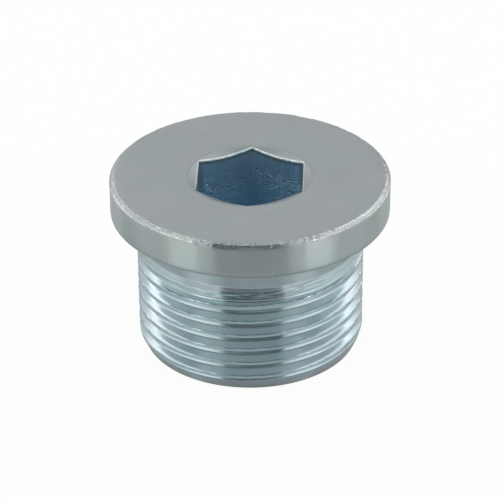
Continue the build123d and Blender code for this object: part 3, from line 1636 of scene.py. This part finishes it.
@dataclass
class Floor:
    """A pale polished floor, white in view with the plug's shadow on it. Its places are in metres.

    Attributes:
        size: the side of the square.
        colour: its colour under the lamps.
        white: the share of the view of it that is white by itself.
        glow: what it gives to a reflection by itself.
        polish: the share of the room that it mirrors, seen from straight above.
        polish_power: how fast that share grows towards a flat view.
        roughness: how softly it mirrors.
        ring: the distances from the axis between which the painted shadow round the plug ends.
        ring_shadow_polish: the share of the mirror that is left in that painted shadow.
        ring_shadow_glow: the share of the glow that is left in it.
        foot: the distances from the axis between which the plug's painted shadow at its foot ends.
        foot_shadow_glow: the share of the glow that is left in it.
        front: the places along Y between which the glow sets in, after a painted shadow at the front.
        front_shadow_glow: the share of it in that painted shadow.
    """

    size: float = 3.0
    colour: Colour = (0.9, 0.9, 0.9)
    white: float = 0.94
    glow: float = 0.5
    polish: float = 0.18
    polish_power: float = 4.0
    roughness: float = 0.05
    ring: Edge = (0.0325, 0.0385)
    ring_shadow_polish: float = 0.52
    ring_shadow_glow: float = 0.9
    foot: Edge = (0.0105, 0.0128)
    foot_shadow_glow: float = 0.55
    front: Edge = (-0.0535, -0.0455)
    front_shadow_glow: float = 0.2

    def build(self) -> None:
        """Makes the floor's object."""
        half = self.size / 2
        corners = [(-half, -half, 0), (half, -half, 0), (half, half, 0), (-half, half, 0)]
        mesh = bpy.data.meshes.new("floor")
        mesh.from_pydata(corners, [], [(0, 1, 2, 3)])
        mesh.materials.append(self._material())
        floor = bpy.data.objects.new("floor", mesh)
        bpy.context.scene.collection.objects.link(floor)

    def _material(self) -> bpy.types.Material:
        """Shows white and a shadow to the camera, and a glow and a mirror with painted shadow to a
        reflection.

        Returns:
            The floor's material.
        """
        made = bpy.data.materials.new("pale_floor")
        made.use_nodes = True
        tree = Tree(made.node_tree)
        path = tree.node("ShaderNodeLightPath")
        camera, glossy, through = (
            Wire(tree, path.outputs[name])
            for name in ("Is Camera Ray", "Is Glossy Ray", "Is Transmission Ray")
        )
        lit = tree.wire("ShaderNodeBsdfDiffuse", inputs={"Color": self.colour})
        white = tree.wire("ShaderNodeEmission", inputs={"Color": WHITE, "Strength": 1.0})
        own = (camera + through) * self.white
        seen = tree.wire("ShaderNodeMixShader", inputs={0: own, 1: lit, 2: white})
        x, y, _ = tree.split(tree.wire("ShaderNodeTexCoord", output="Object"))
        away = tree.from_axis(x, y)
        outside = tree.rise(away, self.ring)
        flat = tree.wire("ShaderNodeLayerWeight", inputs={"Blend": 0.5}, output="Facing")
        share = self.polish + (flat**self.polish_power) * (1 - self.polish)
        # Painted shadow: the mirror and the glow are weaker round the plug, at its foot and at the front.
        share = share * tree.blend(outside, self.ring_shadow_polish, 1.0)
        glow = self.glow * tree.blend(tree.rise(y, self.front), self.front_shadow_glow, 1.0)
        glow = glow * tree.blend(outside, self.ring_shadow_glow, 1.0)
        glow = glow * tree.spread(away, *self.foot, self.foot_shadow_glow, 1.0) * (1 - share)
        glowing = tree.wire("ShaderNodeEmission", inputs={"Color": WHITE, "Strength": glow})
        mirror = {"Color": tree.vector(share, share, share), "Roughness": self.roughness}
        polished = tree.wire("ShaderNodeBsdfGlossy", inputs=mirror)
        mirrored = tree.wire("ShaderNodeAddShader", inputs={0: glowing, 1: polished})
        mixed = tree.wire("ShaderNodeMixShader", inputs={0: glossy, 1: seen, 2: mirrored})
        tree.node("ShaderNodeOutputMaterial", inputs={"Surface": mixed})
        return made


@dataclass
class Lamp:
    """A soft lamp at the side, which lights the floor and shows in no reflection. Sizes are in metres.

    Attributes:
        side: -1 for the left and 1 for the right.
        distance: how far from the axis it hangs.
        long: its length.
        high: its height.
        above_floor: the height of its lower edge.
        radiance: its brightness.
    """

    side: int
    distance: float = 0.45
    long: float = 0.9
    high: float = 0.6
    above_floor: float = 0.05
    radiance: float = 1.0

    def build(self) -> None:
        """Hangs the lamp."""
        lamp = bpy.data.lights.new("side_lamp", "AREA")
        lamp.shape = "RECTANGLE"
        lamp.size = self.long
        lamp.size_y = self.high
        lamp.energy = self.radiance * self.long * self.high * math.pi
        hung = bpy.data.objects.new("side_lamp", lamp)
        hung.location = (self.side * self.distance, 0.0, self.high / 2 + self.above_floor)
        hung.rotation_euler = (math.radians(90), 0.0, math.radians(90 * self.side))
        hung.visible_camera = False
        hung.visible_glossy = False
        bpy.context.scene.collection.objects.link(hung)


@dataclass
class Room:
    """A pale room with a soft panel on each side and a dark gap between the panels, in front and overhead.

    What lies left and right is mapped by shares of the way to the side, forward and up, and the rest by the
    parts of the direction itself. A pair of numbers gives where a soft edge starts and ends.

    Attributes:
        turn: how far the room is turned about the axis, in degrees.
        plain: the brightness of the room for dull surfaces.
        horizon: the brightness of the walls above the floor.
        back: the brightness of the walls higher up.
        horizon_edge: the parts upwards between which it changes.
        left: how much brighter the walls are on the left.
        left_edge: the parts to the right between which that ends.
        rear: the brightness of two darker stretches of the rear wall, as a share.
        rear_back, rear_inner, rear_outer, rear_bottom: their edges backwards, aside and upwards.
        panel: the brightness of the side panels.
        panel_front, panel_rear, panel_bottom: their edges, the second from the leaning line.
        panel_lean: the shares up between which that line moves back, and from where to where.
        strip: the brightness of the tall strip at the panels' front.
        inner_strip: its brightness on its front side.
        strip_split: the shares forward between which that changes.
        strip_bottom, strip_top, strip_rear: its edges.
        strip_foot: the brightness below the strip, near the floor.
        strip_break: the brightness between that and the strip, and above the strip.
        foot_top: the shares up between which that changes.
        panel_top: the shares up between which the panels' dim upper rear corner sets in.
        panel_corner: the shares forward between which it does.
        side_patch: a dim patch on the panels.
        side_box: a bright patch behind them.
        low_box: a bright patch close above the floor.
        low_box_colour: its colour.
        upper: the brightness of two panels high up at the rear, which are not turned with the room.
        upper_front, upper_rear, upper_bottom, upper_top: their edges, the last from the leaning line.
        upper_lean: the shares forward between which that line rises, and from where to where.
        gap: the brightness of the gap.
        gap_width: half its width at the front, as a share of the way there.
        gap_overhead: half its width overhead.
        gap_overhead_edge: the parts upwards between which it opens to that.
        gap_edge: how soft its sides are.
        ceiling: its brightness overhead.
        ceiling_edge: the parts upwards between which that changes.
        gap_back: its brightness behind the zenith.
        gap_back_edge: the parts backwards between which that changes.
        cross: where a pale band crosses it, backwards, and how far from there it fades.
        closed_bottom, closed_top: the parts upwards between which a first reflection shows no gap.
        first_depth: the ray depth below which a reflection counts as the first.
        cool: the tint of the gap.
    """

    turn: float = 3.3
    plain: float = 0.7
    horizon: float = 0.45
    back: float = 0.57
    horizon_edge: Edge = (0.0, 0.28)
    left: float = 1.12
    left_edge: Edge = (-0.22, -0.12)
    rear: float = 0.7
    rear_back: Edge = (0.85, 0.89)
    rear_inner: Edge = (0.1, 0.18)
    rear_outer: Edge = (0.25, 0.29)
    rear_bottom: Edge = (0.15, 0.25)
    panel: float = 0.9
    panel_front: Edge = (-1.8, -1.6)
    panel_rear: Edge = (-0.1, 0.12)
    panel_bottom: Edge = (-0.02, 0.03)
    panel_lean: tuple[float, float, float, float] = (1.0, 1.7, 1.15, 2.75)
    strip: float = 2.3
    inner_strip: float = 1.25
    strip_split: Edge = (-1.03, -0.97)
    strip_bottom: Edge = (0.42, 0.55)
    strip_top: Edge = (0.92, 1.0)
    strip_rear: Edge = (-0.5, -0.2)
    strip_foot: float = 1.05
    strip_break: float = 0.6
    foot_top: Edge = (0.12, 0.24)
    panel_top: Edge = (1.0, 1.3)
    panel_corner: Edge = (1.0, 1.4)
    side_patch: Box = Box(0.5, front=(0.25, 0.4), rear=(0.8, 0.9), bottom=(0.5, 0.62), top=(1.05, 1.15))
    side_box: Box = Box(1.35, front=(0.6, 0.75), rear=(1.45, 1.6), bottom=(0.84, 0.94), top=(1.35, 1.5))
    low_box: Box = Box(2.35, front=(0.2, 0.38), rear=(0.8, 1.0), bottom=(-0.5, -0.4), top=(0.14, 0.22))
    low_box_colour: Colour = (1.0, 0.9, 0.875)
    upper: float = 1.4
    upper_front: Edge = (2.04, 2.14)
    upper_rear: Edge = (3.4, 3.8)
    upper_bottom: Edge = (1.45, 1.6)
    upper_top: Edge = (-0.2, 0.2)
    upper_lean: tuple[float, float, float, float] = (2.1, 2.9, 3.3, 5.2)
    gap: float = 0.12
    gap_width: float = 0.56
    gap_overhead: float = 0.16
    gap_overhead_edge: Edge = (0.6, 0.9)
    gap_edge: Edge = (-0.012, 0.012)
    ceiling: float = 0.2
    ceiling_edge: Edge = (0.9, 0.995)
    gap_back: float = 0.45
    gap_back_edge: Edge = (0.12, 0.3)
    cross: tuple[float, Edge] = (0.36, (0.03, 0.06))
    closed_bottom: Edge = (0.18, 0.24)
    closed_top: Edge = (0.5, 0.57)
    first_depth: float = 2.5
    cool: Colour = (0.8, 1.0, 1.06)

    def build(self) -> None:
        """Makes the world: white for the camera, plain light for dull surfaces and the room for mirrors."""
        world = bpy.data.worlds.new("studio")
        bpy.context.scene.world = world
        world.use_nodes = True
        tree = Tree(world.node_tree)
        path = tree.node("ShaderNodeLightPath")
        camera, glossy, depth = (
            Wire(tree, path.outputs[name]) for name in ("Is Camera Ray", "Is Glossy Ray", "Ray Depth")
        )
        x, y, z = tree.split(tree.wire("ShaderNodeTexCoord", output="Generated"))
        cosine, sine = math.cos(math.radians(self.turn)), math.sin(math.radians(self.turn))
        unturned = Direction.of(tree, x, y, z)
        to = Direction.of(tree, x * cosine + y * sine, y * cosine - x * sine, z)

        room = self._upper_panels(tree, unturned, self._side_panels(tree, to, self._walls(tree, to)))
        room = self.low_box.over(tree, to, self.side_box.over(tree, to, room))
        closed = tree.math("LESS_THAN", depth, self.first_depth)
        closed = closed * tree.window(to.z, self.closed_bottom, self.closed_top)
        outside = self._outside_gap(tree, to)
        room = tree.blend(outside, tree.blend(closed, self._gap(tree, to), self.back), room)
        strength = tree.blend(camera, tree.blend(glossy, self.plain, room), 1.0)

        warm = tree.tint(self.low_box.share(tree, to), WHITE, self.low_box_colour)
        colour = tree.tint(tree.math("MAXIMUM", outside, closed), self.cool, warm)
        colour = tree.tint(camera, colour, WHITE)
        light = tree.wire("ShaderNodeBackground", inputs={"Color": colour, "Strength": strength})
        tree.node("ShaderNodeOutputWorld", inputs={"Surface": light})

    def _walls(self, tree: Tree, to: Direction) -> Wire:
        """Lights the bare walls.

        Args:
            tree: the tree under construction.
            to: where the ray goes.

        Returns:
            Their brightness.
        """
        wall = tree.spread(to.z, *self.horizon_edge, self.horizon, self.back, smooth=True)
        wall = wall * tree.spread(to.x, *self.left_edge, self.left, 1.0, smooth=True)
        behind = tree.rise(to.y, self.rear_back) * tree.window(to.aside, self.rear_inner, self.rear_outer)
        behind = behind * tree.rise(to.z, self.rear_bottom)
        return wall * tree.blend(behind, 1.0, self.rear)

    def _side_panels(self, tree: Tree, to: Direction, room: Wire) -> Wire:
        """Hangs the side panels in the room.

        Args:
            tree: the tree under construction.
            to: where the ray goes.
            room: the brightness without them.

        Returns:
            The brightness with them.
        """
        lean = tree.spread(to.up, *self.panel_lean)
        inside = tree.rise(to.forward, self.panel_front) * tree.fall(to.forward - lean, self.panel_rear)
        inside = inside * tree.rise(to.up, self.panel_bottom)
        strip = tree.spread(to.forward, *self.strip_split, self.inner_strip, self.strip, smooth=True)
        foot = tree.spread(to.up, *self.foot_top, self.strip_foot, self.strip_break, smooth=True)
        hot = tree.blend(tree.window(to.up, self.strip_bottom, self.strip_top), foot, strip)
        hot = tree.blend(tree.rise(to.forward, self.strip_rear), hot, self.panel)
        corner = tree.rise(to.up, self.panel_top) * tree.rise(to.forward, self.panel_corner)
        hot = self.side_patch.over(tree, to, tree.blend(corner, hot, self.back))
        return tree.blend(inside, room, hot)

    def _upper_panels(self, tree: Tree, to: Direction, room: Wire) -> Wire:
        """Hangs the two panels high up at the rear in the room.

        Args:
            tree: the tree under construction.
            to: where the ray goes.
            room: the brightness without them.

        Returns:
            The brightness with them.
        """
        lean = tree.spread(to.forward, *self.upper_lean)
        inside = tree.window(to.forward, self.upper_front, self.upper_rear)
        inside = inside * tree.rise(to.up, self.upper_bottom) * tree.fall(to.up - lean, self.upper_top)
        return tree.blend(inside, room, self.upper)

    def _outside_gap(self, tree: Tree, to: Direction) -> Wire:
        """Cuts the gap between the panels.

        Args:
            tree: the tree under construction.
            to: where the ray goes.

        Returns:
            0 in the gap and 1 beside it.
        """
        width = tree.math("MAXIMUM", to.y * -self.gap_width, 0.0)
        width = width + tree.rise(to.z, self.gap_overhead_edge) * self.gap_overhead
        return tree.rise(to.aside - width, self.gap_edge)

    def _gap(self, tree: Tree, to: Direction) -> Wire:
        """Shades the gap.

        Args:
            tree: the tree under construction.
            to: where the ray goes.

        Returns:
            The brightness in it.
        """
        dark = tree.spread(to.z, *self.ceiling_edge, self.gap, self.ceiling, smooth=True)
        dark = tree.blend(tree.rise(to.y, self.gap_back_edge), dark, self.gap_back)
        place, fade = self.cross
        return tree.blend(tree.fall(abs(to.y - place), fade), dark, self.back)


@dataclass
class View:
    """The camera in front of the plug, a little above it.

    Attributes:
        top: the height of the point that distance and angles are measured from, on the axis.
        distance: how far from there the camera is.
        elevation: how high it stands, in degrees.
        azimuth: how far to the right of the front it stands, in degrees.
        aim: the point in the middle of the frame.
        roll: how far it is turned about its own axis, in degrees.
        focal_pixels: its focal length, in pixels of a frame frame_pixels wide.
        frame_pixels: that frame's width.
        sensor: the width of the sensor.
        clip: the nearest and the farthest distance that it shows, in metres.
    """

    top: float = 17.3
    distance: float = 232.14
    elevation: float = 28.6385
    azimuth: float = 2.35
    aim: tuple[float, float, float] = (-0.04, 0.0, 9.05)
    roll: float = -0.3686
    focal_pixels: float = 2457.75
    frame_pixels: float = 500.0
    sensor: float = 36.0
    clip: Edge = (0.01, 10.0)

    def build(self) -> None:
        """Makes the scene's camera."""
        azimuth, elevation = math.radians(self.azimuth), math.radians(self.elevation)
        back = Vector(
            (
                math.sin(azimuth) * math.cos(elevation),
                -math.cos(azimuth) * math.cos(elevation),
                math.sin(elevation),
            )
        )
        place = Vector((0.0, 0.0, self.top)) + back * self.distance
        away = (place - Vector(self.aim)).normalized()
        rolled = Matrix.Rotation(math.radians(self.roll), 3, "Z")
        turned = away.to_track_quat("Z", "Y").to_matrix() @ rolled
        lens = bpy.data.cameras.new("camera")
        lens.sensor_width = self.sensor
        lens.lens = self.focal_pixels / self.frame_pixels * self.sensor
        lens.clip_start, lens.clip_end = self.clip
        camera = bpy.data.objects.new("camera", lens)
        camera.matrix_world = Matrix.Translation(place * MM) @ turned.to_4x4()
        bpy.context.scene.collection.objects.link(camera)
        bpy.context.scene.camera = camera


def main() -> None:
    """Builds the camera, the plug and its studio."""
    logging.basicConfig(level=logging.INFO, format="%(name)s: %(message)s")
    bpy.context.scene.view_settings.view_transform = "Standard"
    View().build()
    finishes = {zone: finish.material() for zone, finish in FINISHES.items()}
    plug = Plug(Shank(), Collar(), Socket()).build(finishes)
    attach(plug, "root")
    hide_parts(NODE)
    LOG.info("%s: %d faces, %d vertices", plug.name, len(plug.data.polygons), len(plug.data.vertices))
    Floor().build()
    for side in (-1, 1):
        Lamp(side).build()
    Room().build()
    LOG.info("studio: floor, two lamps and the room")


if __name__ == "__main__":
    main()
